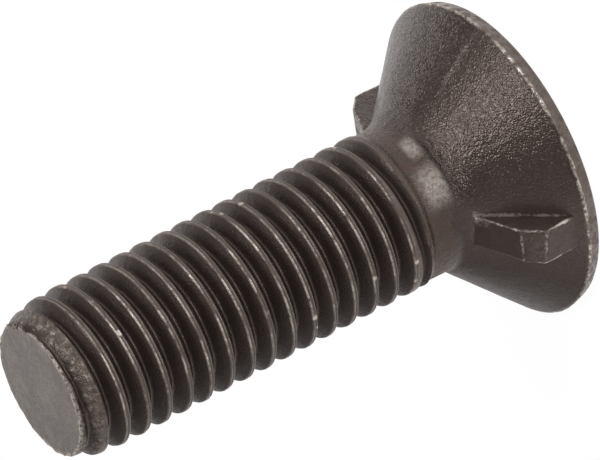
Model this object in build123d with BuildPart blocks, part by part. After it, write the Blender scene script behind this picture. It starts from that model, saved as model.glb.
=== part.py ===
from build123d import *
from math import atan2, ceil, degrees, hypot, radians, tan
import os

# A plow bolt: a countersunk head with a flat face, two anti-turn nibs on its cone, a short plain neck
# and a rolled metric thread. It is forged and rolled from one blank, so it is one solid.
# It stands on the head's flat face at z = 0, with its axis on +Z and its nibs along +X and -X.
# Every length is in millimetres and every angle in degrees.

# Head
overall_length = 39.35
head_diameter = 24.17
face_diameter = 23.57
land_height = 1.04
cone_angle = 90.0

# Nibs, set in from the head's edge and down from the top of its cone
nib_width = 2.85
nib_draft = 2.0
nib_inset = 0.685
nib_crown_setback = 1.28
nib_root_drop = 0.86
nib_crown_drop = 1.90
nib_corner_drop = 3.17
nib_corner_radius = 0.6

# Neck
neck_diameter = 11.45
neck_length = 2.35
neck_fillet = 1.2
shoulder_length = 0.35

# Thread
thread_diameter = 11.8
pitch = 1.75
flank_angle = 60.0
crest_cut = 1 / 8
root_cut = 1 / 6
thread_gap = 0.26
thread_azimuth = 130.3
run_out_turns = 0.75

# Point
tip_diameter = 9.9
point_diameter = 11.42
point_length = 1.7
lead_length = 3.8

head_radius = head_diameter / 2
neck_radius = neck_diameter / 2
crest_radius = thread_diameter / 2
cone_slope = tan(radians(cone_angle / 2))
cone_top = land_height + (head_radius - neck_radius) / cone_slope
neck_end = cone_top + neck_length

nib_reach = head_radius - nib_inset
nib_crown_reach = nib_reach - nib_crown_setback
nib_root_height = cone_top - nib_root_drop
nib_crown_height = cone_top - nib_crown_drop
nib_corner_height = cone_top - nib_corner_drop

# The thread's triangle, cut off at its crest and at its root
flank_slope = tan(radians(flank_angle / 2))
triangle_height = pitch / 2 / flank_slope
thread_depth = triangle_height * (1 - crest_cut - root_cut)
groove_width = pitch * (1 - crest_cut)
root_width = pitch * root_cut

# The groove has its full depth from here up, and its run-out below ends clear of the neck
thread_start = neck_end + thread_gap + run_out_turns * pitch

# The cutter stands this far out of the crest, which is less than would reach the next turn's groove
cutter_clearance = pitch * crest_cut / 3


def groove_section(side):
    """The groove's section, across the shank on its +X side (1) or its -X side (-1)."""
    mouth = groove_width / 2 + cutter_clearance * flank_slope
    plane = Plane((side * crest_radius, 0, 0), x_dir=(side, 0, 0), z_dir=(0, side, 0))
    with BuildSketch(plane) as section:
        with BuildLine():
            Polyline(
                (cutter_clearance, mouth),
                (-thread_depth, root_width / 2),
                (-thread_depth, -root_width / 2),
                (cutter_clearance, -mouth),
                close=True,
            )
        make_face()
    return section.sketch


# The head's and shank's shape of revolution
with BuildPart() as blank:
    with BuildSketch(Plane.XZ):
        with BuildLine():
            outline = FilletPolyline(
                (0, 0),
                (face_diameter / 2, 0),
                (head_radius, land_height),
                (neck_radius, cone_top),
                (neck_radius, neck_end),
                (crest_radius, neck_end + shoulder_length),
                (crest_radius, overall_length - lead_length),
                (point_diameter / 2, overall_length - point_length),
                (tip_diameter / 2, overall_length),
                (0, overall_length),
                radius=(0, 0, neck_fillet, 0, 0, 0, 0, 0),
            )
            Line(outline @ 1, outline @ 0)
        make_face()
    revolve(axis=Axis.Z)

# Both nibs are the ends of one bar through the head, which narrows towards the tip.
# The bar is cut to the nibs' side outline.
with BuildPart() as nib_bar:
    with BuildSketch(Plane.XY.offset(land_height)):
        Rectangle(2 * nib_reach, nib_width)
    extrude(amount=nib_root_height - land_height, taper=nib_draft)
    with BuildSketch(Plane.XZ):
        with BuildLine():
            side = FilletPolyline(
                (0, nib_root_height),
                (neck_radius, nib_root_height),
                (nib_crown_reach, nib_crown_height),
                (nib_reach, nib_corner_height),
                (nib_reach, land_height),
                (0, land_height),
                radius=(0, nib_corner_radius, nib_corner_radius, 0),
            )
            Line(side @ 1, side @ 0)
        make_face()
        mirror(about=Plane.YZ)
    extrude(amount=nib_width, both=True, mode=Mode.INTERSECT)

# One turn of the thread's groove
with BuildPart() as groove_turn:
    with BuildLine() as turn_path:
        Helix(pitch, pitch, crest_radius)
    sweep(groove_section(1), path=turn_path.line, is_frenet=True)

# The groove's run-out towards the neck, where it climbs out of the shank on a conical helix
with BuildPart() as run_out:
    climb = (thread_depth + cutter_clearance) / run_out_turns
    with BuildLine() as run_out_path:
        Helix(
            hypot(pitch, climb),
            run_out_turns * pitch,
            crest_radius,
            direction=(0, 0, -1),
            cone_angle=degrees(atan2(climb, pitch)),
        )
    sweep(groove_section(-1), path=run_out_path.line, is_frenet=True)

with BuildPart() as plow_bolt:
    add(blank.part)
    add(nib_bar.part)
    with Locations((0, 0, thread_start)):
        add(run_out.part, rotation=(0, 0, thread_azimuth + 180), mode=Mode.SUBTRACT)
    for turn in range(ceil((overall_length - thread_start) / pitch) + 1):
        with Locations((0, 0, thread_start + turn * pitch)):
            add(groove_turn.part, rotation=(0, 0, thread_azimuth), mode=Mode.SUBTRACT)

plow_bolt.part.label = "plow_bolt"
os.makedirs("parts", exist_ok=True)
export_step(plow_bolt.part, "parts/plow_bolt.step")
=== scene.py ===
from math import atan2, ceil, cos, exp, hypot, pi, radians, sin, tan

import bmesh
import bpy
from bpy.props import FloatProperty, FloatVectorProperty, PointerProperty
from mathutils import Matrix, Vector, noise


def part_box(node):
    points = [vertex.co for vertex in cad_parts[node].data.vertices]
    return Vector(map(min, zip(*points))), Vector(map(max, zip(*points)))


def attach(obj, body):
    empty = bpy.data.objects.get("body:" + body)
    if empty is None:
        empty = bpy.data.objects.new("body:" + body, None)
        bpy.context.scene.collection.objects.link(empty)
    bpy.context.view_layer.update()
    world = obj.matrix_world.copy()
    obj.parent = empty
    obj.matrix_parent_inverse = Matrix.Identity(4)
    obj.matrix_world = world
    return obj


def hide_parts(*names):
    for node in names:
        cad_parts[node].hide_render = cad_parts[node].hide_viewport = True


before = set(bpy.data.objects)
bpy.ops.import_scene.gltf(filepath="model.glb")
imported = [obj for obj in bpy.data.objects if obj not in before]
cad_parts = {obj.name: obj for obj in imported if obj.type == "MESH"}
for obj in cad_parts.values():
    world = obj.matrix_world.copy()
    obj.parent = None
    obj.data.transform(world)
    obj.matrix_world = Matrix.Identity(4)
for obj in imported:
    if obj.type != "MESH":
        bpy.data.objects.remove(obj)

bl_info = {
    "name": "Plow bolt",
    "version": (1, 0, 0),
    "blender": (4, 5, 0),
    "location": "3D View > Sidebar > Plow bolt",
    "description": "Forges a countersunk plow bolt with two nibs and a rolled thread, and sets its stage",
    "category": "Add Mesh",
}

# The script works in metres, and MM turns a size given in millimetres into them
MM = 0.001
NODE = "plow_bolt"
SLOT = "oxide_steel"
AXIS = Vector((0, 0, 1))
CAD_LOW, CAD_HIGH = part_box(NODE)


# Sizes and colours that a user may change


class BoltSizes(bpy.types.PropertyGroup):
    """The bolt's sizes."""

    length: FloatProperty(
        name="Length",
        description="From the head's flat face to the tip",
        default=CAD_HIGH.z - CAD_LOW.z,
        unit="LENGTH",
    )
    head_diameter: FloatProperty(
        name="Head diameter",
        description="Across the edge between the head's land and its cone",
        default=CAD_HIGH.y - CAD_LOW.y,
        unit="LENGTH",
    )
    face_diameter: FloatProperty(
        name="Face diameter",
        description="Across the head's flat face",
        default=23.57 * MM,
        unit="LENGTH",
    )
    land_height: FloatProperty(
        name="Land height",
        description="Height of the narrow land round the head",
        default=1.04 * MM,
        unit="LENGTH",
    )
    cone_angle: FloatProperty(
        name="Cone angle",
        description="Angle between the cone's opposite sides",
        default=radians(90),
        subtype="ANGLE",
    )
    neck_diameter: FloatProperty(
        name="Neck diameter",
        description="Across the plain neck between the cone and the thread",
        default=11.45 * MM,
        unit="LENGTH",
    )
    neck_end: FloatProperty(
        name="Neck end",
        description="Height at which the neck ends and the thread's shoulder starts",
        default=9.75 * MM,
        unit="LENGTH",
    )
    thread_diameter: FloatProperty(
        name="Thread diameter",
        description="Across the thread's crests",
        default=11.8 * MM,
        unit="LENGTH",
    )
    pitch: FloatProperty(
        name="Pitch",
        description="Distance along the bolt from one crest to the next",
        default=1.75 * MM,
        unit="LENGTH",
    )
    thread_start: FloatProperty(
        name="Thread start",
        description="Height at which the groove has its full depth, on the side that thread azimuth names",
        default=11.32 * MM,
        unit="LENGTH",
    )
    thread_azimuth: FloatProperty(
        name="Thread azimuth",
        description="Direction from the axis in which the thread starts",
        default=radians(130.3),
        subtype="ANGLE",
    )
    run_out_turns: FloatProperty(
        name="Run-out turns",
        description="Turns over which the groove climbs out of the shank at the neck",
        default=0.75,
    )
    tip_diameter: FloatProperty(
        name="Tip diameter",
        description="Across the flat tip",
        default=9.9 * MM,
        unit="LENGTH",
    )
    nib_width: FloatProperty(
        name="Nib width",
        description="Width of a nib where it leaves the cone",
        default=2.85 * MM,
        unit="LENGTH",
    )
    nib_reach: FloatProperty(
        name="Nib reach",
        description="Distance from the bolt's axis to a nib's outer face",
        default=11.4 * MM,
        unit="LENGTH",
    )


class BoltFinish(bpy.types.PropertyGroup):
    """The bolt's colours."""

    oxide: FloatVectorProperty(
        name="Oxide",
        description="Colour of the dark oxide on the steel",
        default=(0.034, 0.0240, 0.0207),
        subtype="COLOR",
    )
    # Also used for the painted glints on the cone's upper side
    rubbed: FloatVectorProperty(
        name="Rubbed oxide",
        description="Colour where the oxide has rubbed thin, as on the tip and the head's land",
        default=(0.145, 0.118, 0.102),
        subtype="COLOR",
    )
    # Also used for the painted highlights on the neck's swellings, the crests' lit side and a nib's foot
    bare: FloatVectorProperty(
        name="Bare edge",
        description="Colour of the steel where sharp edges have rubbed bright",
        default=(0.62, 0.56, 0.50),
        subtype="COLOR",
    )
    rust: FloatVectorProperty(
        name="Rust tint",
        description="Colour of the brown bloom round the neck",
        default=(0.060, 0.031, 0.017),
        subtype="COLOR",
    )


class StageSettings(bpy.types.PropertyGroup):
    """The studio round the bolt. A lamp's brightness is how bright its face looks, where 1 is white."""

    floor_size: FloatProperty(
        name="Floor size",
        description="Length of the floor's sides",
        default=4.0,
        unit="LENGTH",
    )
    key_brightness: FloatProperty(
        name="Key lamp",
        description="Draws the bright stripe down the cone",
        default=5.8,
    )
    fill_brightness: FloatProperty(
        name="Fill lamp",
        description="Lights the upper side",
        default=1.4,
    )
    front_brightness: FloatProperty(
        name="Front lamp",
        description="Stands behind the camera",
        default=4.8,
    )
    neck_brightness: FloatProperty(
        name="Neck lamp",
        description="Lights the neck's fillet",
        default=1.2,
    )
    side_brightness: FloatProperty(
        name="Side lamp",
        description="Lights the lower side",
        default=1.3,
    )
    back_brightness: FloatProperty(
        name="Back lamp",
        description="Lights the tip",
        default=1.4,
    )
    edge_brightness: FloatProperty(
        name="Edge lamp",
        description="Lights the far edges",
        default=1.4,
    )
    sky_brightness: FloatProperty(
        name="Sky",
        description="Even light from all round",
        default=0.23,
    )


# Mesh helpers


WELD_DISTANCE = MM / 500


def deselect_all():
    """Leaves edit mode and deselects every object."""
    if bpy.context.object and bpy.context.object.mode != "OBJECT":
        bpy.ops.object.mode_set(mode="OBJECT")
    bpy.ops.object.select_all(action="DESELECT")


def make_active(piece):
    """Selects one piece alone."""
    deselect_all()
    piece.select_set(True)
    bpy.context.view_layer.objects.active = piece


def trace_outline(name, points):
    """Draws an open outline in the XZ plane by extruding one vertex from point to point."""
    deselect_all()
    start = Vector((points[0][0], 0, points[0][1]))
    bpy.ops.mesh.primitive_plane_add(size=MM, location=start)
    outline = bpy.context.object
    outline.name = name
    bpy.ops.object.transform_apply(location=True, rotation=False, scale=False)
    bpy.ops.object.mode_set(mode="EDIT")
    bpy.ops.mesh.merge(type="CENTER")
    for (r0, z0), (r1, z1) in zip(points, points[1:]):
        bpy.ops.mesh.extrude_vertices_move(TRANSFORM_OT_translate={"value": (r1 - r0, 0, z1 - z0)})
    bpy.ops.object.mode_set(mode="OBJECT")
    return outline


def weld(piece):
    """Merges doubled vertices and turns every face outwards."""
    make_active(piece)
    bpy.ops.object.mode_set(mode="EDIT")
    bpy.ops.mesh.select_all(action="SELECT")
    bpy.ops.mesh.remove_doubles(threshold=WELD_DISTANCE)
    bpy.ops.mesh.normals_make_consistent(inside=False)
    bpy.ops.object.mode_set(mode="OBJECT")


def cut_level(piece, height, keep_above, fill):
    """Cuts a piece at a height and deletes the side that isn't kept."""
    make_active(piece)
    bpy.ops.object.mode_set(mode="EDIT")
    bpy.ops.mesh.select_all(action="SELECT")
    bpy.ops.mesh.bisect(
        plane_co=(0, 0, height),
        plane_no=AXIS,
        use_fill=fill,
        clear_inner=keep_above,
        clear_outer=not keep_above,
        threshold=WELD_DISTANCE / 2,
    )
    bpy.ops.object.mode_set(mode="OBJECT")


def line_points(start, end, steps):
    """Evenly spaced points on a line, without its last one."""
    return [
        (start[0] + (end[0] - start[0]) * i / steps, start[1] + (end[1] - start[1]) * i / steps)
        for i in range(steps)
    ]


def smooth_step(low, high, value):
    """Goes smoothly from 0 at low to 1 at high, whichever of them is the larger."""
    share = min(max((value - low) / (high - low), 0), 1)
    return share * share * (3 - 2 * share)


def soft_lower(a, b, blend):
    """The lower of two values, rounded off where they come within the blend of each other."""
    share = min(max(0.5 + (b - a) / (2 * blend), 0), 1)
    return b + (a - b) * share - blend * share * (1 - share)


def ragged(x, y, z, scale):
    """Smooth noise from -1 to 1, with features about one over scale in size."""
    return noise.noise(Vector((x, y, z)) * scale)


def uneven(waves, x, y, z):
    """A sum of noises, each with its height and its scale."""
    return sum(height * ragged(x, y, z, scale) for height, scale in waves)


def angle_between(a, b):
    """The smaller angle between two directions round the axis."""
    turn = abs(a - b) % (2 * pi)
    return min(turn, 2 * pi - turn)


# Form of the head and neck


# Faces round the head, and rows of faces up its land, cone and neck
HEAD_STEPS = 300
LAND_ROWS = 5
CONE_ROWS = 24
CONE_TOP_ROWS = 10
NECK_ROWS = 12

# The head's mesh ends at the join, and a strip as high as the gap bridges it to the shank's
JOIN_HEIGHT = 9.2 * MM
JOIN_GAP = 0.25 * MM

# How far the edges of the flat face and the land are rounded
FACE_EDGE = 0.25 * MM
RIM_EDGE = 0.12 * MM

# Unevenness of the forging, as heights and scales of noise
FORGED_WAVES = ((0.05 * MM, 300), (0.02 * MM, 900))
NIB_WAVES = ((0.08 * MM, 500), (0.03 * MM, 1800))

# The rim slides in and up by these heights of noise, less and less up to this far from it
RIM_WAVE = 0.07 * MM
RIM_NICK = 0.05 * MM
RIM_REACH = 0.9 * MM
RIM_LEAN = 0.7

# The fillet under the head is large on one side and nearly sharp on the other
FILLET_SIDE = radians(95)
FILLET_FADE = (-0.05, 0.5)
LARGE_FILLET = 1.5 * MM
SHARP_FILLET = 0.25 * MM

# Two swellings on the neck, each with its azimuth and spread round the neck, its height and length along it
# and its rise, and the crease between them and the cone
SWELLINGS = (
    (radians(41), radians(20), 7.95 * MM, 1.25 * MM, 0.50 * MM),
    (radians(73), radians(13), 7.75 * MM, 0.65 * MM, 0.26 * MM),
)
CREASE_AZIMUTH = radians(52)
CREASE_SPREAD = radians(28)
CREASE_HEIGHT = 7.3 * MM
CREASE_WIDTH = 0.36 * MM
CREASE_DEPTH = 0.32 * MM

# The forging die's parting line, which is left on the cone
PARTING_AZIMUTH = radians(85.2)
PARTING_LOW = 1.5 * MM
PARTING_HIGH = 5.9 * MM
PARTING_WIDTH = 0.07 * MM
PARTING_RISE = 0.06 * MM


def neck_form(azimuth, z):
    """How far the neck stands out of a true cylinder at a place on it."""
    swollen = 0
    for middle, spread, height, length, rise in SWELLINGS:
        off = angle_between(azimuth, middle) / spread
        along = (z - height) / length
        swollen += rise * exp(-off * off - along * along)
    off = angle_between(azimuth, CREASE_AZIMUTH) / CREASE_SPREAD
    along = (z - CREASE_HEIGHT) / CREASE_WIDTH
    return swollen - CREASE_DEPTH * exp(-(off ** 4) - along * along)


def cone_radius(sizes, azimuth, z):
    """Radius of the cone and the neck, with the fillet between them."""
    cone = sizes.head_diameter / 2 - (z - sizes.land_height) * tan(sizes.cone_angle / 2)
    side = smooth_step(*FILLET_FADE, cos(azimuth - FILLET_SIDE))
    fillet = SHARP_FILLET + (LARGE_FILLET - SHARP_FILLET) * side
    return -soft_lower(-cone, -sizes.neck_diameter / 2, fillet) + neck_form(azimuth, z)


def parting_ridge(x, y, z):
    """Height of the parting line's ridge."""
    ends = smooth_step(PARTING_LOW, PARTING_LOW + MM, z) * smooth_step(PARTING_HIGH, PARTING_HIGH - MM, z)
    return PARTING_RISE * ends * (0.7 + 0.6 * ragged(x, y, z, 900))


def head_outline(sizes):
    """Outline of the head, cone and neck, from the centre of the flat face up to the joint with the shank."""
    face = sizes.face_diameter / 2
    head = sizes.head_diameter / 2
    half = sizes.cone_angle / 2
    cone_top = sizes.land_height + (head - sizes.neck_diameter / 2) / tan(half)
    lean = atan2(sizes.land_height, head - face)
    edge_start = (head - RIM_EDGE * cos(lean), sizes.land_height - RIM_EDGE * sin(lean))
    edge_end = (head - RIM_EDGE * sin(half), sizes.land_height + RIM_EDGE * cos(half))
    points = [(face * share, 0) for share in (0, 0.35, 0.7, 0.9)]
    points += [(face - FACE_EDGE, 0), (face - FACE_EDGE * 0.3, FACE_EDGE * 0.12)]
    points += line_points((face + FACE_EDGE * 0.1, FACE_EDGE * 0.6), edge_start, LAND_ROWS)
    points += [edge_start, (head - RIM_EDGE * 0.12, sizes.land_height), edge_end]
    cone_middle = (sizes.neck_diameter / 2 + MM, cone_top - MM)
    neck_start = (sizes.neck_diameter / 2, cone_top)
    neck_stop = (sizes.neck_diameter / 2, JOIN_HEIGHT - JOIN_GAP)
    points += line_points(edge_end, cone_middle, CONE_ROWS)[1:]
    points += line_points(cone_middle, neck_start, CONE_TOP_ROWS)
    points += line_points(neck_start, neck_stop, NECK_ROWS)
    points.append(neck_stop)
    return points


def forge_head(sizes):
    """Spins the head's outline into a solid of revolution and gives it the unevenness of a forging."""
    head = trace_outline("head", head_outline(sizes))
    bpy.ops.object.mode_set(mode="EDIT")
    bpy.ops.mesh.select_all(action="SELECT")
    bpy.ops.mesh.spin(steps=HEAD_STEPS, angle=2 * pi, center=(0, 0, 0), axis=AXIS)
    bpy.ops.object.mode_set(mode="OBJECT")
    weld(head)
    step = 2 * pi / HEAD_STEPS
    parting = round(PARTING_AZIMUTH / step) * step
    rim_top = sizes.land_height + RIM_EDGE
    for vertex in head.data.vertices:
        x, y, z = vertex.co
        radius = hypot(x, y)
        if radius < sizes.neck_diameter / 4 or z <= 0:
            continue
        azimuth = atan2(y, x)
        if z > rim_top:
            radius = cone_radius(sizes, azimuth, z)
            between = smooth_step(rim_top, 3 * MM, z) * smooth_step(JOIN_HEIGHT, JOIN_HEIGHT - MM, z)
            radius += uneven(FORGED_WAVES, x, y, z) * between
            off = angle_between(azimuth, parting)
            if off < step * 0.5:
                radius += parting_ridge(x, y, z)
            elif off < step * 1.5 and PARTING_LOW < z < PARTING_HIGH:
                shift = PARTING_WIDTH / radius - step
                azimuth += shift if (azimuth - parting) % (2 * pi) < pi else -shift
        rim = smooth_step(RIM_REACH, 0, hypot(radius - sizes.head_diameter / 2, z - sizes.land_height))
        slide = rim * (RIM_WAVE * ragged(x, y, 0, 350) + RIM_NICK * ragged(x, y, 2, 1100))
        radius -= slide * RIM_LEAN
        vertex.co = (radius * cos(azimuth), radius * sin(azimuth), z + slide * RIM_LEAN)
    return head


# Form of the nibs


# A nib's side outline: its inner end's distance from the axis, its foot's height, its root's distance and
# height, its crown's setback from the nib's reach, and the heights of its crown and its outer corner
NIB_INSIDE = 4.5 * MM
NIB_FOOT = 0.6 * MM
NIB_ROOT = (6.1 * MM, 6.85 * MM)
NIB_CROWN_SETBACK = 1.28 * MM
NIB_CROWN = 5.45 * MM
NIB_CORNER = 4.05 * MM

# The corner edge runs aslant: on the nib's clockwise side, seen from the tip, it lies nearer to the crown
CORNER_SLANT = (-0.15 * MM, 0.40 * MM)

# The sides narrow by the draft and stand out by the spread, which makes up for their rounded edges
NIB_DRAFT = radians(2)
NIB_SPREAD = 0.06 * MM
NIB_ROUNDING = 0.15 * MM
NIB_FACES = 0.09 * MM


def nib_outline(sizes):
    """Side outline of one nib, from inside the neck round to inside the head."""
    return [
        (NIB_INSIDE, NIB_ROOT[1]),
        NIB_ROOT,
        (sizes.nib_reach - NIB_CROWN_SETBACK, NIB_CROWN),
        (sizes.nib_reach, NIB_CORNER),
        (sizes.nib_reach, NIB_FOOT),
        (NIB_INSIDE, NIB_FOOT),
    ]


def forge_nibs(sizes):
    """Extrudes a nib from its side outline, drafts and rounds it, and turns a copy to the other side."""
    nib = trace_outline("nib", nib_outline(sizes))
    bpy.ops.object.mode_set(mode="EDIT")
    bpy.ops.mesh.select_all(action="SELECT")
    bpy.ops.mesh.edge_face_add()
    bpy.ops.transform.translate(value=(0, -sizes.nib_width / 2, 0))
    bpy.ops.mesh.extrude_region_move(TRANSFORM_OT_translate={"value": (0, sizes.nib_width, 0)})
    bpy.ops.object.mode_set(mode="OBJECT")
    weld(nib)
    for vertex in nib.data.vertices:
        draft = tan(NIB_DRAFT) * max(vertex.co.z - sizes.land_height, 0)
        at_corner = hypot(vertex.co.x - sizes.nib_reach, vertex.co.z - NIB_CORNER) < WELD_DISTANCE
        if at_corner and vertex.co.y < 0:
            vertex.co.x += CORNER_SLANT[0]
            vertex.co.z += CORNER_SLANT[1]
        vertex.co.y *= 1 + 2 * (NIB_SPREAD - draft) / sizes.nib_width
    make_active(nib)
    rounding = nib.modifiers.new("rounding", "BEVEL")
    rounding.width = NIB_ROUNDING
    rounding.segments = 3
    rounding.limit_method = "ANGLE"
    rounding.angle_limit = radians(20)
    bpy.ops.object.modifier_apply(modifier=rounding.name)
    remesh = nib.modifiers.new("fine faces", "REMESH")
    remesh.mode = "VOXEL"
    remesh.voxel_size = NIB_FACES
    bpy.ops.object.modifier_apply(modifier=remesh.name)
    for vertex in nib.data.vertices:
        x, y, z = vertex.co
        vertex.co += Vector(uneven(NIB_WAVES, *turned) for turned in ((x, y, z), (y, z, x), (z, x, y)))
    bpy.ops.object.duplicate()
    opposite = bpy.context.object
    bpy.ops.transform.rotate(value=pi, orient_axis="Z", center_override=(0, 0, 0))
    bpy.ops.object.transform_apply(location=True, rotation=True, scale=True)
    return nib, opposite


# Form of the thread


# Faces round the thread
THREAD_STEPS = 150

# The thread's section: flanks with rounded roots, and a crest rolled to two lips with a seam between them
FLANK_SLOPE = tan(radians(30))
THREAD_DEPTH = 1.0737 * MM
ROOT_ROUND = 0.16 * MM
CREST_WIDTH = 0.30 * MM
CREST_ROUND = 0.07 * MM
SEAM_DEPTH = 0.03 * MM
SEAM_WIDTH = 0.055 * MM

# The shoulder between the neck and the thread, and the point's lead and chamfer
SHOULDER_LENGTH = 0.35 * MM
LEAD_LENGTH = 3.8 * MM
POINT_LENGTH = 1.7 * MM
POINT_DIAMETER = 11.42 * MM

# The burr round the tip, which is jagged on one side, and the shallow furrow beside it
BURR_LENGTH = 0.35 * MM
BURR_RISE = 0.10 * MM
JAGGED_AZIMUTH = radians(115)
JAGGED_SPREAD = radians(35)
JAGGED_RISE = 0.40 * MM
FURROW_HEIGHT = 0.55 * MM
FURROW_WIDTH = 0.16 * MM
FURROW_DEPTH = 0.07 * MM

# Unevenness of the rolled shank, and what is added to it at the point, as heights and scales of noise
ROLLED_WAVES = ((0.020 * MM, 900), (0.015 * MM, 2500))
POINT_WAVES = ((0.02 * MM, 900), (0.03 * MM, 2500))


def blank_radius(sizes, azimuth, z):
    """Radius of the neck, shank and point before the thread is rolled."""
    neck = sizes.neck_diameter / 2 + neck_form(azimuth, z)
    crest = sizes.thread_diameter / 2
    from_tip = sizes.length - z
    if z < sizes.neck_end:
        return neck
    if z < sizes.neck_end + SHOULDER_LENGTH:
        return neck + (crest - neck) * (z - sizes.neck_end) / SHOULDER_LENGTH
    if from_tip > LEAD_LENGTH:
        return crest
    point = POINT_DIAMETER / 2
    if from_tip > POINT_LENGTH:
        return point + (crest - point) * (from_tip - POINT_LENGTH) / (LEAD_LENGTH - POINT_LENGTH)
    tip = sizes.tip_diameter / 2
    return tip + (point - tip) * from_tip / POINT_LENGTH


def groove_base(sizes):
    """Height of a groove's centre at azimuth 0, below the neck."""
    height = sizes.thread_start - sizes.pitch * sizes.thread_azimuth / (2 * pi)
    return height - 2 * sizes.pitch


def thread_radius(sizes, azimuth, z):
    """Radius of the rolled shank at a place on it."""
    base = groove_base(sizes)
    turns = (z - base) / sizes.pitch - azimuth / (2 * pi)
    nearest = round(turns)
    across = abs(turns - nearest) * sizes.pitch
    centre = base + (nearest + azimuth / (2 * pi)) * sizes.pitch
    climb = (sizes.thread_start - centre) / (sizes.run_out_turns * sizes.pitch)
    lift = THREAD_DEPTH * min(max(climb, 0), 1.5)
    flat = sizes.pitch / 2 - CREST_WIDTH / 2
    crest = sizes.thread_diameter / 2
    flank = crest - (flat - across) / FLANK_SLOPE
    root = crest - THREAD_DEPTH
    groove = -soft_lower(-flank, -root, ROOT_ROUND) + lift
    surface = soft_lower(groove, blank_radius(sizes, azimuth, z), CREST_ROUND)
    from_crest = sizes.pitch / 2 - across
    seam = SEAM_DEPTH * max(0, 1 - from_crest / SEAM_WIDTH) * smooth_step(0.5, 0, climb)
    return surface - seam * smooth_step(0, 2 * MM, sizes.length - z)


def tip_form(sizes, x, y, z):
    """How far the tip's burr stands out, less the furrow beside it."""
    from_tip = sizes.length - z
    off = angle_between(atan2(y, x), JAGGED_AZIMUTH) / JAGGED_SPREAD
    burr = smooth_step(BURR_LENGTH, 0, from_tip) * (BURR_RISE + JAGGED_RISE * exp(-off * off))
    burr *= ragged(x, y, 0, 2300) + 0.7 * ragged(x, y, 1, 700)
    off = (from_tip - FURROW_HEIGHT) / FURROW_WIDTH
    return burr - FURROW_DEPTH * exp(-off * off) * (0.6 + ragged(x, y, 3, 400))


def roll_thread(sizes):
    """Winds one pitch of outline into the threaded shank and gives each vertex its place."""
    pitch = sizes.pitch
    crest = sizes.thread_diameter / 2
    flat = pitch / 2 - CREST_WIDTH / 2
    root_half = flat - THREAD_DEPTH * FLANK_SLOPE
    marks = [
        0,
        root_half * 0.5,
        root_half,
        root_half + ROOT_ROUND * 0.5,
        flat * 0.55,
        flat * 0.75,
        flat - CREST_ROUND,
        flat - CREST_ROUND * 0.3,
        flat + CREST_ROUND * 0.3,
        pitch / 2 - SEAM_WIDTH,
        pitch / 2 - SEAM_WIDTH * 0.4,
    ]
    heights = marks + [pitch / 2] + [pitch - mark for mark in reversed(marks)]
    base = groove_base(sizes) - pitch
    turns = ceil((sizes.length - base) / pitch) + 1
    shank = trace_outline("shank", [(crest, base + height) for height in heights])
    make_active(shank)
    winding = shank.modifiers.new("winding", "SCREW")
    winding.axis = "Z"
    winding.angle = 2 * pi
    winding.screw_offset = pitch
    winding.iterations = turns
    winding.steps = THREAD_STEPS
    winding.render_steps = THREAD_STEPS
    bpy.ops.object.modifier_apply(modifier=winding.name)
    weld(shank)
    cut_level(shank, JOIN_HEIGHT, keep_above=True, fill=False)
    cut_level(shank, sizes.length, keep_above=False, fill=True)
    for vertex in shank.data.vertices:
        x, y, z = vertex.co
        if hypot(x, y) < crest - MM / 2:
            continue
        azimuth = atan2(y, x) % (2 * pi)
        radius = thread_radius(sizes, azimuth, z) + tip_form(sizes, x, y, z)
        near_tip = smooth_step(POINT_LENGTH, POINT_LENGTH / 2, sizes.length - z)
        radius += uneven(ROLLED_WAVES, x, y, z) + near_tip * uneven(POINT_WAVES, x, y, z)
        vertex.co = (radius * cos(azimuth), radius * sin(azimuth), z)
    return shank


# Joining the forms into one piece


def bridge_shank(head, shank):
    """Joins the head's open neck to the shank's open end."""
    make_active(head)
    shank.select_set(True)
    bpy.ops.object.join()
    bolt = bpy.context.object
    low = JOIN_HEIGHT - JOIN_GAP * 1.1
    high = JOIN_HEIGHT + JOIN_GAP * 0.1
    bpy.ops.object.mode_set(mode="EDIT")
    bpy.ops.mesh.select_mode(type="EDGE")
    bpy.ops.mesh.select_all(action="DESELECT")
    shape = bmesh.from_edit_mesh(bolt.data)
    for edge in shape.edges:
        edge.select = edge.is_boundary and all(low < v.co.z < high for v in edge.verts)
    shape.select_flush(True)
    bmesh.update_edit_mesh(bolt.data)
    bpy.ops.mesh.bridge_edge_loops()
    bpy.ops.mesh.select_mode(type="VERT")
    bpy.ops.object.mode_set(mode="OBJECT")
    return bolt


def unite(bolt, nibs):
    """Grows the nibs into the cone."""
    for nib in nibs:
        make_active(bolt)
        union = bolt.modifiers.new("nib", "BOOLEAN")
        union.operation = "UNION"
        union.solver = "EXACT"
        union.object = nib
        bpy.ops.object.modifier_apply(modifier=union.name)
        bpy.data.objects.remove(nib)
    return bolt


# Shader maths


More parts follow.
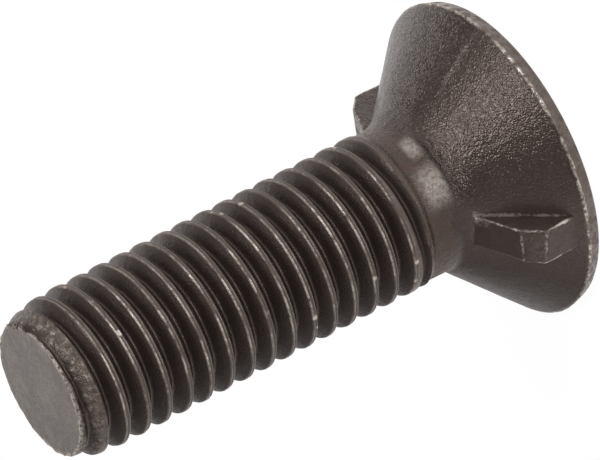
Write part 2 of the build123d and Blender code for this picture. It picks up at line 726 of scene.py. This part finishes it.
class Value:
    """A shader socket that can stand in a Python expression, where each operator adds a Math node."""

    def __init__(self, graph, socket):
        self.graph = graph
        self.socket = socket

    def maths(self, operation, *values):
        return self.graph.node("ShaderNodeMath", {"operation": operation}, dict(enumerate(values)))

    def __add__(self, other):
        return self.maths("ADD", self, other)

    def __radd__(self, other):
        return self.maths("ADD", other, self)

    def __sub__(self, other):
        return self.maths("SUBTRACT", self, other)

    def __rsub__(self, other):
        return self.maths("SUBTRACT", other, self)

    def __mul__(self, other):
        return self.maths("MULTIPLY", self, other)

    def __rmul__(self, other):
        return self.maths("MULTIPLY", other, self)

    def __truediv__(self, other):
        return self.maths("DIVIDE", self, other)

    def __pow__(self, other):
        return self.maths("POWER", self, other)

    def __abs__(self):
        return self.maths("ABSOLUTE", self)

    def above(self, low, high):
        """Rises smoothly from 0 at low to 1 at high, or falls if low is the larger."""
        flip = low > high
        limits = {1: high, 2: low} if flip else {1: low, 2: high}
        share = self.graph.node(
            "ShaderNodeMapRange", {"interpolation_type": "SMOOTHSTEP"}, {0: self, **limits}
        )
        return 1 - share if flip else share

    def near(self, centre, width):
        """1 at the centre, falling smoothly to 0 at the width on both sides of it."""
        return abs(self - centre).above(width, width * 0.25)

    def least(self, other):
        return self.maths("MINIMUM", self, other)

    def most(self, other):
        return self.maths("MAXIMUM", self, other)


class Graph:
    """The node tree of a new material or world."""

    def __init__(self, name, kind=bpy.data.materials):
        self.owner = kind.new(name)
        self.owner.use_nodes = True
        self.tree = self.owner.node_tree
        self.tree.nodes.clear()

    def node(self, kind, settings=None, inputs=None, output=0):
        """Adds a node, makes its settings, gives its sockets values or links and returns one output."""
        made = self.tree.nodes.new(kind)
        for name, value in (settings or {}).items():
            setattr(made, name, value)
        for name, value in (inputs or {}).items():
            if isinstance(value, Value):
                self.tree.links.new(value.socket, made.inputs[name])
            else:
                made.inputs[name].default_value = value
        return Value(self, made.outputs[output]) if made.outputs else None

    def mix(self, share, a, b):
        """Mixes two colours."""
        a, b = (c if isinstance(c, Value) else (*c, 1) for c in (a, b))
        return self.node("ShaderNodeMix", {"data_type": "RGBA"}, {0: share, 6: a, 7: b}, output=2)

    def noise(self, place, scale, detail, roughness=0.5):
        inputs = {"Vector": place, "Scale": scale, "Detail": detail, "Roughness": roughness}
        return self.node("ShaderNodeTexNoise", None, inputs)

    def patches(self, place, scale, fade, detail, roughness):
        """Ragged patches of 1 on 0, which fade over a range of the noise's values."""
        return self.noise(place, scale, detail, roughness).above(*fade)

    def dots(self, place, scale, outer, inner):
        """Scattered round dots of 1 on 0, which fade from their outer to their inner radius."""
        return self.node("ShaderNodeTexVoronoi", None, {"Vector": place, "Scale": scale}).above(outer, inner)


# Finish of the steel, worked out in millimetres


# Heights between which one part of the finish fades in or out
CONE_END = (8.6, 7.2)
NECK_START = (6.6, 7.2)
NECK_END = (10.4, 9.8)
LOWER_NECK_START = (7.0, 8.0)
LOWER_NECK_END = (10.2, 9.6)
BLOOM_START = (7.8, 8.8)
BLOOM_END = (10.5, 10.0)
FIRST_GROOVE_START = (9.8, 10.0)
FIRST_GROOVE_END = (11.6, 11.0)
THREAD_START = (10.0, 10.6)
THREAD_WEAR_START = (10.2, 10.8)

# Directions round the axis over which the cone turns grainy, and beyond which its far side starts
GRAINY_SIDE = (radians(5), radians(35))
FAR_SIDE = (radians(88), radians(108))

# The side toward the lamps, on which the crests' lips get a painted highlight
LIT_CREST_AZIMUTH = radians(38)
LIT_CREST_SPREAD = radians(62)

# The light patches on the swellings, partly rubbed steel and partly painted highlight, lie this much nearer
# to the thread than the swellings do
RUB_AND_HIGHLIGHT_SHIFT = 0.6

# How deep the bump goes, and the steel's sheen, which is a little brown
GRAIN_HEIGHT = 0.036 * MM
OXIDE_IOR = 1.72
SHEEN_TINT = (1.0, 0.80, 0.73, 1.0)


def distance(a, b):
    """Length of the long side of a right triangle with short sides a and b."""
    return (a * a + b * b) ** 0.5


def shade(colour, share):
    """The colour made darker, or lighter where the share is over 1."""
    return [channel * share for channel in colour]


class Spot:
    """Where a point of the surface lies on the bolt, and the bolt's sizes beside it."""

    def __init__(self, graph, sizes):
        place = graph.node("ShaderNodeTexCoord", output=3)
        self.place = graph.node("ShaderNodeVectorMath", {"operation": "SCALE"}, {0: place, 3: 1 / MM})
        self.x, self.y, self.z = (
            graph.node("ShaderNodeSeparateXYZ", None, {0: self.place}, output=axis) for axis in range(3)
        )
        self.radius = distance(self.x, self.y)
        self.azimuth = self.y.maths("ARCTAN2", self.y, self.x)
        turns = (self.z - groove_base(sizes) / MM) / (sizes.pitch / MM) - self.azimuth / (2 * pi)
        self.from_crest = (turns.maths("FRACT", turns) - 0.5) * (sizes.pitch / MM)
        self.length = sizes.length / MM
        self.head = sizes.head_diameter / 2 / MM
        self.land = sizes.land_height / MM
        self.crest = sizes.thread_diameter / 2 / MM
        self.tip = sizes.tip_diameter / 2 / MM
        self.cone = self.head - (self.z - self.land) * tan(sizes.cone_angle / 2)
        self.nib_reach = sizes.nib_reach / MM
        self.nib_side = sizes.nib_width / 2 / MM


def thread_wear_and_highlight(graph, spot):
    """Patchy thin bright lines on the two lips of the crest, and a few chips: bare steel, with a painted
    highlight that makes them brightest on the tip-side lip and on the side toward the lamps.
    """
    wander = (graph.noise(spot.place, 1.6, 4, 0.7) - 0.5) * 0.12
    lip = (abs(spot.from_crest) + wander).near(CREST_WIDTH / 2 / MM, 0.085)
    patch = graph.patches(spot.place, 0.4, (0.38, 0.58), 4, 0.6)
    streak = graph.patches(spot.place, 1.5, (0.32, 0.58), 5, 0.7)
    # Painted highlight: brighter on the tip-side lip and on the side toward the lamps
    tip_side = 0.3 + 0.7 * spot.from_crest.above(-0.05, 0.05)
    lit_side = 0.35 + 0.75 * spot.azimuth.near(LIT_CREST_AZIMUTH, LIT_CREST_SPREAD)
    line = lip * patch * streak * tip_side * lit_side
    chip = graph.dots(spot.place, 0.55, 0.17, 0.08) * abs(spot.from_crest).above(0.26, 0.16)
    outside = (spot.radius - spot.crest + 0.16).above(0, 0.08)
    return line.most(chip) * outside * spot.z.above(*THREAD_WEAR_START)


def rim_wear(graph, spot):
    """A thin broken bright line on the edge between the head's land and its cone."""
    wander = graph.noise(spot.place, 1.3, 5, 0.7) * 0.30
    line = (distance(spot.radius - spot.head, spot.z - spot.land) + wander).above(0.35, 0.20)
    broken = graph.patches(spot.place, 0.55, (0.42, 0.56), 5, 0.7)
    return line * broken * graph.patches(spot.place, 3.5, (0.34, 0.56), 4, 0.7)


def nib_wear_and_highlight(graph, spot):
    """Bright ragged lines along a nib's edges, a rubbed patch at its upper end, and a painted highlight along
    its foot on one side.
    """
    out = abs(spot.x)
    aside = abs(spot.y)
    across = spot.y * spot.x.maths("SIGN", spot.x) / spot.nib_side
    slant = (1 - across) * 0.5
    root_r, root_z = (length / MM for length in NIB_ROOT)
    crown_r, crown_z = spot.nib_reach - NIB_CROWN_SETBACK / MM, NIB_CROWN / MM
    corner_r = spot.nib_reach + slant * (CORNER_SLANT[0] / MM)
    corner_z = NIB_CORNER / MM + slant * (CORNER_SLANT[1] / MM)

    level = root_z + (out - root_r) * ((crown_z - root_z) / (crown_r - root_r)) - spot.z
    bend = (corner_z - crown_z) / (corner_r - crown_r)
    chamfer = (crown_z + bend * (out - crown_r) - spot.z) / (1 + bend * bend) ** 0.5
    top = abs(level).least(abs(chamfer)).least(abs(corner_r - out))
    side = abs(aside - (spot.nib_side + NIB_SPREAD / MM - 0.10))
    crown_edge = distance(out - crown_r, spot.z - crown_z)
    corner_edge = distance(out - corner_r, spot.z - corner_z)

    fray = graph.noise(spot.place, 3.0, 5, 0.8) * 0.5
    rubbed = graph.patches(spot.place, 1.8, (0.36, 0.56), 6, 0.75)
    speckled = graph.patches(spot.place, 4.5, (0.40, 0.58), 4, 0.8)
    long_edge = (top.most(side) + fray).above(0.42, 0.30)
    cross_edge = (crown_edge.least(corner_edge) + fray).above(0.40, 0.28)
    # Painted highlight: a bright line along the nib's foot, where it meets the cone, on one side
    foot = (abs(spot.radius - spot.cone).most(side) + fray).above(0.44, 0.32) * spot.y.above(0, 0.5)
    root_patch = (spot.radius - root_r).above(2.0, 0.6) * level.above(0.30, 0.05) * across.above(0.3, 0.8)
    worn = long_edge.most(cross_edge * speckled * 0.8).most(foot * 0.35).most(root_patch * speckled * 0.6)
    return worn * rubbed * aside.above(1.75, 1.65) * out.above(6.2, 6.5) * spot.z.above(1.9, 2.4)


def tip_wear(graph, spot):
    """The bright burr round the tip and the rubbed band beside it."""
    wander = graph.noise(spot.place, 2.4, 4, 0.7) * 0.35
    burr = (distance(spot.radius - spot.tip, spot.z - spot.length) + wander).above(0.46, 0.26)
    broken = graph.patches(spot.place, 2.6, (0.38, 0.60), 4, 0.65)
    band = (spot.length - spot.z).above(1.9, 1.2) * (spot.radius - spot.tip).above(-0.1, 0.1)
    speckle = graph.patches(spot.place, 2.2, (0.54, 0.66), 6, 0.8)
    return (burr * broken * 0.75).most(band * speckle * 0.6)


def swelling_rub_and_highlight(graph, spot):
    """Light patches on top of the neck's swellings: partly rubbed steel, partly a painted highlight where the
    lamps catch them.
    """
    rubbed = 0
    for azimuth, spread, height, reach, _rise in SWELLINGS:
        patch = spot.azimuth.near(azimuth, spread) * spot.z.near(height / MM + RUB_AND_HIGHLIGHT_SHIFT, reach / MM)
        rubbed = patch.most(rubbed)
    return rubbed * (0.35 + 0.65 * graph.patches(spot.place, 3.5, (0.34, 0.60), 5, 0.75))


class Areas:
    """How much each part of the finish, the painted shade and the painted glints hold at a spot, from 0 to 1,
    and how deep in a groove the spot is.
    """

    def __init__(self, graph, spot):
        place, z, radius = spot.place, spot.z, spot.radius
        from_crest = abs(spot.from_crest)
        self.cloud = graph.noise(place, 0.45, 3)
        self.mottle = graph.noise(place, 1.3, 4, 0.6)
        self.fleck = graph.patches(place, 2.2, (0.36, 0.62), 5, 0.75)
        self.speckle = graph.patches(place, 4.0, (0.35, 0.65), 5, 0.75)
        self.stain = graph.patches(place, 0.25, (0.35, 0.65), 5, 0.6)
        self.pit = graph.dots(place, 0.32, 0.05, 0.035)

        self.upper_side = spot.azimuth.above(*GRAINY_SIDE)
        self.far_side = abs(spot.azimuth).above(*FAR_SIDE)
        self.land_band = radius.above(spot.head - 0.7, spot.head - 0.5)
        self.land_band *= z.above(spot.land + 0.04, spot.land - 0.06)
        self.cone = z.above(spot.land + 0.05, spot.land + 0.25) * z.above(*CONE_END) * radius.above(5.0, 5.5)
        # Painted glints: bright specks on the cone's upper side, where the lamps catch the grain
        self.painted_glints = graph.patches(place, 5.5, (0.60, 0.70), 3, 0.7) * self.cone * self.upper_side

        self.neck = z.above(*NECK_START) * z.above(*NECK_END)
        self.lower_neck = z.above(*LOWER_NECK_START) * z.above(*LOWER_NECK_END) * (1 - self.upper_side)
        # The crease between the swellings and the cone, darkened with painted shade
        self.crease = spot.azimuth.near(CREASE_AZIMUTH, CREASE_SPREAD * 1.4)
        self.crease *= z.near(CREASE_HEIGHT / MM, 0.7)
        self.bloom = graph.patches(place, 2.0, (0.42, 0.60), 5, 0.75)
        self.bloom *= z.above(*BLOOM_START) * z.above(*BLOOM_END)

        self.thread = z.above(*THREAD_START)
        self.depth = (spot.crest - radius) * self.thread
        # The first groove by the neck; its darkening is partly oily oxide and partly painted shade
        self.first_groove = from_crest.above(0.42, 0.60)
        self.first_groove *= z.above(*FIRST_GROOVE_START) * z.above(*FIRST_GROOVE_END)
        self.crest_band = self.depth.above(0.16, 0.04) * self.thread
        self.seam = from_crest.above(0.05, 0.02) * self.thread * self.cloud.above(0.35, 0.60)
        self.point = z.above(spot.length - 2.6, spot.length - 1.5) * self.depth.above(1.1, 0.5)
        self.tip_face = z.above(spot.length - 0.10, spot.length - 0.04)
        self.tip_face *= radius.above(spot.tip + 0.05, spot.tip - 0.10)


def steel_tone(graph, spot, areas, wear_and_highlights, finish):
    """The steel's colour, in layers from the oxide up to the bare edges, with painted shade in the crease and
    the thread's grooves and painted highlights on the swellings, the cone and the crests.
    """
    oxide, rubbed = finish.oxide, finish.rubbed
    layers = (
        (areas.speckle * 0.5, shade(oxide, 0.4)),
        (areas.bloom * 0.85, finish.rust),
        # Painted shade in the crease under the neck; the first groove is darker from oily oxide and painted
        # shade
        (areas.crease.most(areas.first_groove) * 0.85, shade(oxide, 0.25)),
        (areas.crest_band * (0.15 + 0.5 * areas.cloud), rubbed),
        # Partly rubbed steel, partly a painted highlight on the swellings
        (swelling_rub_and_highlight(graph, spot) * 0.55, finish.bare),
        # Darker towards the thread's roots: oily oxide there, and painted shade of the grooves
        (areas.depth.above(0.10, 0.7) * 0.7, shade(oxide, 0.3)),
        (areas.seam * 0.4, shade(oxide, 0.3)),
        (areas.point * (0.10 + 0.7 * areas.fleck), rubbed),
        (areas.tip_face * (0.25 + 0.3 * areas.mottle + 0.5 * areas.stain), rubbed),
        (areas.land_band * (0.45 + 0.55 * areas.fleck), rubbed),
        # Painted glints on the cone's upper side
        (areas.painted_glints * 0.7, rubbed),
        (areas.pit, shade(oxide, 0.2)),
        # Bare steel on worn edges, with painted highlights on the crests' lit side and a nib's foot
        (wear_and_highlights, finish.bare),
    )
    tone = graph.mix(areas.cloud.above(0.3, 0.7), oxide, shade(oxide, 1.3))
    for share, colour in layers:
        tone = graph.mix(share, tone, colour)
    return tone


def steel_roughness(areas, wear_and_highlights):
    """Smoothest on the upper side of the cone and roughest in the land's mottled patches."""
    rough = 0.27 + 0.14 * (areas.mottle - 0.5) + 0.10 * (areas.speckle - 0.5)
    rough += 0.19 * (areas.cone * (1 - areas.upper_side)).most(areas.lower_neck)
    rough += 0.06 * areas.neck + 0.12 * areas.neck * areas.bloom
    rough += 0.15 * areas.thread + 0.15 * areas.first_groove + 0.10 * wear_and_highlights
    return rough + 0.35 * areas.land_band * areas.mottle.above(0.44, 0.56)


def steel_relief(graph, spot, areas):
    """Fine grain on a coarser peel, strongest on the upper and the far side, with a few pits."""
    grain = graph.noise(spot.place, 8.0, 0)
    peel = graph.noise(spot.place, 1.8, 1)
    strength = 0.55 + areas.cone * (0.05 + 0.6 * areas.upper_side + 0.8 * areas.far_side)
    strength += areas.neck * (0.3 + 0.7 * areas.upper_side) + 0.8 * areas.point - 0.35 * areas.tip_face
    return strength * (grain + 1.2 * peel) - areas.pit


def oxide_steel(sizes, finish):
    """Dark oxide on forged and rolled steel, with bare metal where its edges have worn, painted shade in its
    crease and grooves, and painted highlights where the lamps catch it.
    """
    graph = Graph(SLOT)
    spot = Spot(graph, sizes)
    areas = Areas(graph, spot)
    wear_and_highlights = thread_wear_and_highlight(graph, spot).most(rim_wear(graph, spot))
    wear_and_highlights = wear_and_highlights.most(nib_wear_and_highlight(graph, spot)).most(tip_wear(graph, spot))
    relief = {"Strength": 1.0, "Distance": GRAIN_HEIGHT, "Height": steel_relief(graph, spot, areas)}
    surface = graph.node(
        "ShaderNodeBsdfPrincipled",
        None,
        {
            "Base Color": steel_tone(graph, spot, areas, wear_and_highlights, finish),
            "Metallic": 0.9 * wear_and_highlights,
            "Roughness": steel_roughness(areas, wear_and_highlights),
            "IOR": OXIDE_IOR,
            "Specular Tint": SHEEN_TINT,
            "Normal": graph.node("ShaderNodeBump", None, relief),
        },
    )
    graph.node("ShaderNodeOutputMaterial", None, {"Surface": surface})
    return graph.owner


# The piece and the stage


class PLOWBOLT_OT_forge(bpy.types.Operator):
    """Forges the bolt: head, nibs, neck and thread in one piece"""

    bl_idname = "plowbolt.forge"
    bl_label = "Forge bolt"
    bl_options = {"REGISTER", "UNDO"}

    def execute(self, context):
        sizes = context.scene.bolt_sizes
        shank = roll_thread(sizes)
        head = forge_head(sizes)
        nibs = forge_nibs(sizes)
        bolt = unite(bridge_shank(head, shank), nibs)
        bolt.name = "plow_bolt_forged"
        bolt.data.name = bolt.name
        make_active(bolt)
        bpy.ops.object.shade_smooth_by_angle(angle=radians(35))
        bolt.data.materials.clear()
        bolt.data.materials.append(oxide_steel(sizes, context.scene.bolt_finish))
        for polygon in bolt.data.polygons:
            polygon.material_index = 0
        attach(bolt, "root")
        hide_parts(NODE)
        return {"FINISHED"}


# The bolt is seen from above its tip's side, and the picture is turned so that the tip points down left
VIEW_POLAR = radians(66.0925)
VIEW_AZIMUTH = radians(40.3)
VIEW_ROLL = radians(-117.292)
VIEW_DISTANCE = 439.294 * MM
VIEW_TARGET = Vector((0, 0, 14.739 * MM))
VIEW_OFFSET = (2.156 * MM, -0.698 * MM)
VIEW_LENS = 375.6
SENSOR_WIDTH = 36
NEAR_CLIP = 10 * MM
LAMP_DISTANCE = 0.7

# Each lamp's direction by the picture's right, up and front, and its size
LAMPS = {
    "key": ((-0.79, 0.07, 0.60), 0.24),
    "fill": ((-0.49, 0.35, 0.80), 0.26),
    "front": ((0.17, 0.08, 0.98), 0.26),
    "neck": ((-0.70, 0.60, 0.40), 0.26),
    "side": ((-0.09, -0.97, 0.24), 0.36),
    "back": ((-0.65, -0.15, -0.75), 0.30),
    "edge": ((-0.73, 0.34, -0.60), 0.26),
}

# The floor's grey, the strength of its own light, and that light's share in what the camera sees
FLOOR_GREY = 0.85
FLOOR_LIGHT = 1.06
FLOOR_LIGHT_SHARE = 0.9


def view_axes():
    """The picture's right, its up and the way from the bolt to the camera."""
    toward = Vector(
        (sin(VIEW_POLAR) * cos(VIEW_AZIMUTH), sin(VIEW_POLAR) * sin(VIEW_AZIMUTH), cos(VIEW_POLAR))
    )
    level_up = (AXIS - AXIS.dot(toward) * toward).normalized()
    level_right = level_up.cross(toward)
    right = cos(VIEW_ROLL) * level_right + sin(VIEW_ROLL) * level_up
    up = -sin(VIEW_ROLL) * level_right + cos(VIEW_ROLL) * level_up
    return right, up, toward


def aim(thing, location, target, roll_up=AXIS):
    """Puts a lamp or camera at a place, facing the target."""
    back = (location - target).normalized()
    right = roll_up.cross(back).normalized()
    up = back.cross(right)
    turned = Matrix((right, up, back)).transposed().to_4x4()
    thing.matrix_world = Matrix.Translation(location) @ turned


def add_camera():
    """Adds the camera at the photographed view."""
    right, up, toward = view_axes()
    target = VIEW_TARGET - right * VIEW_OFFSET[0] - up * VIEW_OFFSET[1]
    deselect_all()
    bpy.ops.object.camera_add()
    camera = bpy.context.object
    camera.data.lens = VIEW_LENS
    camera.data.sensor_width = SENSOR_WIDTH
    camera.data.clip_start = NEAR_CLIP
    aim(camera, target + toward * VIEW_DISTANCE, target, up)
    bpy.context.scene.camera = camera


def add_lamp(name, direction, size, brightness):
    """Adds a soft square lamp. Its power is four times its area where its face is to look white."""
    right, up, toward = view_axes()
    across, rise, front = direction
    way = (right * across + up * rise + toward * front).normalized()
    deselect_all()
    bpy.ops.object.light_add(type="AREA")
    lamp = bpy.context.object
    lamp.name = name
    lamp.data.shape = "SQUARE"
    lamp.data.size = size
    lamp.data.energy = 4 * brightness * size * size
    aim(lamp, VIEW_TARGET + way * LAMP_DISTANCE, VIEW_TARGET)


def floor_material():
    """Pale and matt. The camera sees nearly all of it as plain white, and a faint shadow stays."""
    graph = Graph("pale_floor")
    matt = graph.node("ShaderNodeBsdfDiffuse", None, {"Color": (FLOOR_GREY, FLOOR_GREY, FLOOR_GREY, 1)})
    white = graph.node("ShaderNodeEmission", None, {"Color": (1, 1, 1, 1), "Strength": FLOOR_LIGHT})
    rays = ("Is Camera Ray", "Is Glossy Ray", "Is Transmission Ray")
    camera_ray, glossy_ray, transmission_ray = (
        graph.node("ShaderNodeLightPath", output=ray) for ray in rays
    )
    seen = camera_ray.most(glossy_ray).most(transmission_ray) * FLOOR_LIGHT_SHARE
    surface = graph.node("ShaderNodeMixShader", None, {0: seen, 1: matt, 2: white})
    graph.node("ShaderNodeOutputMaterial", None, {"Surface": surface})
    return graph.owner


def add_world(brightness):
    """Adds even white light from all round."""
    graph = Graph("studio", bpy.data.worlds)
    even = graph.node("ShaderNodeBackground", None, {"Color": (1, 1, 1, 1), "Strength": brightness})
    graph.node("ShaderNodeOutputWorld", None, {"Surface": even})
    bpy.context.scene.world = graph.owner


class PLOWBOLT_OT_stage(bpy.types.Operator):
    """Sets the pale floor, the soft lamps and the camera"""

    bl_idname = "plowbolt.stage"
    bl_label = "Set stage"
    bl_options = {"REGISTER", "UNDO"}

    def execute(self, context):
        stage = context.scene.bolt_stage
        deselect_all()
        bpy.ops.mesh.primitive_plane_add(size=stage.floor_size, location=(0, 0, CAD_LOW.z))
        ground = context.object
        ground.name = "floor"
        bpy.ops.object.transform_apply(location=True, rotation=False, scale=False)
        ground.data.materials.append(floor_material())
        add_world(stage.sky_brightness)
        for name, (direction, size) in LAMPS.items():
            add_lamp(name + "_lamp", direction, size, getattr(stage, name + "_brightness"))
        add_camera()
        context.scene.view_settings.view_transform = "Standard"
        return {"FINISHED"}


class PLOWBOLT_PT_panel(bpy.types.Panel):
    """Lists the bolt's sizes, its finish and its stage"""

    bl_idname = "PLOWBOLT_PT_panel"
    bl_label = "Plow bolt"
    bl_space_type = "VIEW_3D"
    bl_region_type = "UI"
    bl_category = "Plow bolt"

    def draw(self, context):
        layout = self.layout
        for group in (context.scene.bolt_sizes, context.scene.bolt_finish, context.scene.bolt_stage):
            column = layout.column()
            for name in group.__annotations__:
                column.prop(group, name)
        layout.operator(PLOWBOLT_OT_forge.bl_idname)
        layout.operator(PLOWBOLT_OT_stage.bl_idname)


CLASSES = (
    BoltSizes,
    BoltFinish,
    StageSettings,
    PLOWBOLT_OT_forge,
    PLOWBOLT_OT_stage,
    PLOWBOLT_PT_panel,
)


def register():
    for cls in CLASSES:
        bpy.utils.register_class(cls)
    bpy.types.Scene.bolt_sizes = PointerProperty(type=BoltSizes)
    bpy.types.Scene.bolt_finish = PointerProperty(type=BoltFinish)
    bpy.types.Scene.bolt_stage = PointerProperty(type=StageSettings)


def unregister():
    del bpy.types.Scene.bolt_stage
    del bpy.types.Scene.bolt_finish
    del bpy.types.Scene.bolt_sizes
    for cls in reversed(CLASSES):
        bpy.utils.unregister_class(cls)


def main():
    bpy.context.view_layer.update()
    register()
    bpy.ops.plowbolt.forge()
    bpy.ops.plowbolt.stage()


if __name__ == "__main__":
    main()
